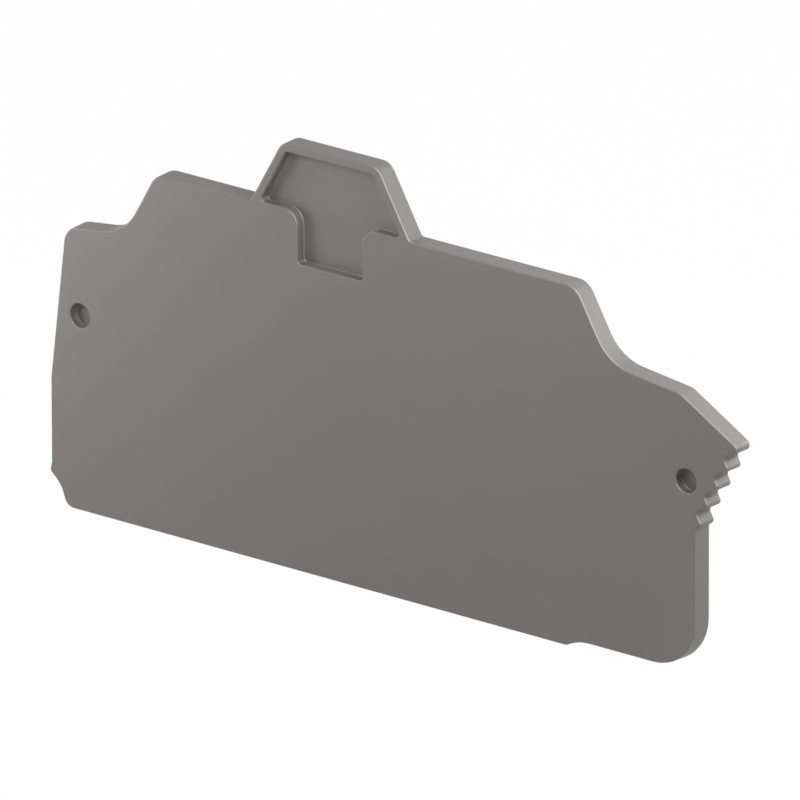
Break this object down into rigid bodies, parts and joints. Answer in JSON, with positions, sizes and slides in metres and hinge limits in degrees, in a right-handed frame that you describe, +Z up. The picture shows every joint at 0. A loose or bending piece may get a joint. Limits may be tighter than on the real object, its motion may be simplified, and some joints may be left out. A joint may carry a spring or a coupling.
{
  "type": "terminal block end cover",
  "caption": "Flat moulded end cover for a row of terminal blocks: stepped outline, recessed marker tab, serrated corner, blind sockets outside and locating pegs inside.",
  "frame": {"origin": "axis of the left locating peg, on the plate's inner face", "axes": "+X along the plate towards the serrated corner, +Y out of the inner face along the pegs, +Z up towards the marker tab"},
  "size_m": [0.0885, 0.0042, 0.0455],
  "materials": {
    "plastic": "fine satin moulded surface, warm mid grey"
  },
  "bodies": {
    "root": {"end_cover": "plastic"}
  },
  "joints": []
}
